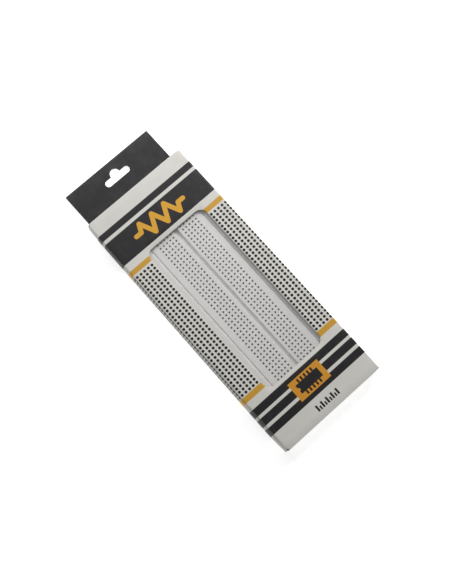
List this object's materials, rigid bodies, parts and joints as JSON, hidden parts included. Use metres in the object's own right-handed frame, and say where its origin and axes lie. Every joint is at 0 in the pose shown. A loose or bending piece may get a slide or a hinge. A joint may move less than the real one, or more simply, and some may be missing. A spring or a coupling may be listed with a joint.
{
  "type": "boxed solderless breadboard",
  "caption": "White solderless breadboard with keyed bus strips in a printed window carton with a hang tab; both carton ends open.",
  "frame": {"origin": "centre of the carton's back face, on which it lies", "axes": "+X across the carton, +Y along it towards the hang tab, +Z out of the printed front"},
  "size_m": [0.0718, 0.2031, 0.0126],
  "materials": {
    "card_white": "coated white board, satin print",
    "card_black": "coated board printed black",
    "clear_film": "clear glossy film",
    "board_plastic": "moulded white plastic",
    "spring_metal": "nickel-plated spring bronze",
    "foam_tape": "double-sided foam tape",
    "liner_paper": "waxed release paper"
  },
  "bodies": {
    "carton": {"front_panel": "card_white", "left_side_panel": "card_white", "right_side_panel": "card_white", "back_panel": "card_white", "hanger_panel": "card_white", "hang_tab_fold": "card_black", "window_film": "clear_film"},
    "board": {"terminal_strip_housing": "board_plastic", "left_bus_housing": "board_plastic", "right_bus_housing": "board_plastic", "terminal_clips_left": "spring_metal", "terminal_clips_right": "spring_metal", "left_bus_clip_outer": "spring_metal", "left_bus_clip_inner": "spring_metal", "right_bus_clip_inner": "spring_metal", "right_bus_clip_outer": "spring_metal", "terminal_foam_tape": "foam_tape", "left_bus_foam_tape": "foam_tape", "right_bus_foam_tape": "foam_tape", "release_liner": "liner_paper"},
    "top_closure": {"top_closure": "card_white"},
    "top_tuck_flap": {"top_tuck_flap": "card_white"},
    "top_left_dust_flap": {"top_left_dust_flap": "card_white"},
    "top_right_dust_flap": {"top_right_dust_flap": "card_white"},
    "bottom_closure": {"bottom_closure": "card_white"},
    "bottom_tuck_flap": {"bottom_tuck_flap": "card_white"},
    "bottom_left_dust_flap": {"bottom_left_dust_flap": "card_white"},
    "bottom_right_dust_flap": {"bottom_right_dust_flap": "card_white"}
  },
  "joints": [
    {"name": "top_closure_hinge", "type": "hinge", "parent": "carton", "child": "top_closure", "pos_m": [0, 0.0886, 0.0008], "axis": [-1, 0, 0], "range_deg": [0, 88]},
    {"name": "top_tuck_fold", "type": "hinge", "parent": "top_closure", "child": "top_tuck_flap", "pos_m": [0, 0.0882, 0.0115], "axis": [-1, 0, 0], "range_deg": [-66, 0]},
    {"name": "top_left_dust_flap_fold", "type": "hinge", "parent": "carton", "child": "top_left_dust_flap", "pos_m": [-0.0355, 0.08814, 0.0063], "axis": [0, 0, 1], "range_deg": [0, 52.8]},
    {"name": "top_right_dust_flap_fold", "type": "hinge", "parent": "carton", "child": "top_right_dust_flap", "pos_m": [0.0355, 0.08814, 0.0063], "axis": [0, 0, -1], "range_deg": [0, 52.8]},
    {"name": "bottom_closure_hinge", "type": "hinge", "parent": "carton", "child": "bottom_closure", "pos_m": [0, -0.0886, 0.0008], "axis": [1, 0, 0], "range_deg": [0, 88]},
    {"name": "bottom_tuck_fold", "type": "hinge", "parent": "bottom_closure", "child": "bottom_tuck_flap", "pos_m": [0, -0.0882, 0.0115], "axis": [1, 0, 0], "range_deg": [-66, 0]},
    {"name": "bottom_left_dust_flap_fold", "type": "hinge", "parent": "carton", "child": "bottom_left_dust_flap", "pos_m": [-0.0355, -0.08814, 0.0063], "axis": [0, 0, -1], "range_deg": [0, 52.8]},
    {"name": "bottom_right_dust_flap_fold", "type": "hinge", "parent": "carton", "child": "bottom_right_dust_flap", "pos_m": [0.0355, -0.08814, 0.0063], "axis": [0, 0, 1], "range_deg": [0, 52.8]},
    {"name": "board_side_play", "type": "slide", "parent": "carton", "child": "board", "axis": [1, 0, 0], "range_m": [-0.0034, 0]}
  ],
  "couplings": [
    {"joint": "top_tuck_fold", "follows": "top_closure_hinge", "ratio": -0.75},
    {"joint": "top_left_dust_flap_fold", "follows": "top_closure_hinge", "ratio": 0.6},
    {"joint": "top_right_dust_flap_fold", "follows": "top_closure_hinge", "ratio": 0.6},
    {"joint": "bottom_tuck_fold", "follows": "bottom_closure_hinge", "ratio": -0.75},
    {"joint": "bottom_left_dust_flap_fold", "follows": "bottom_closure_hinge", "ratio": 0.6},
    {"joint": "bottom_right_dust_flap_fold", "follows": "bottom_closure_hinge", "ratio": 0.6}
  ]
}
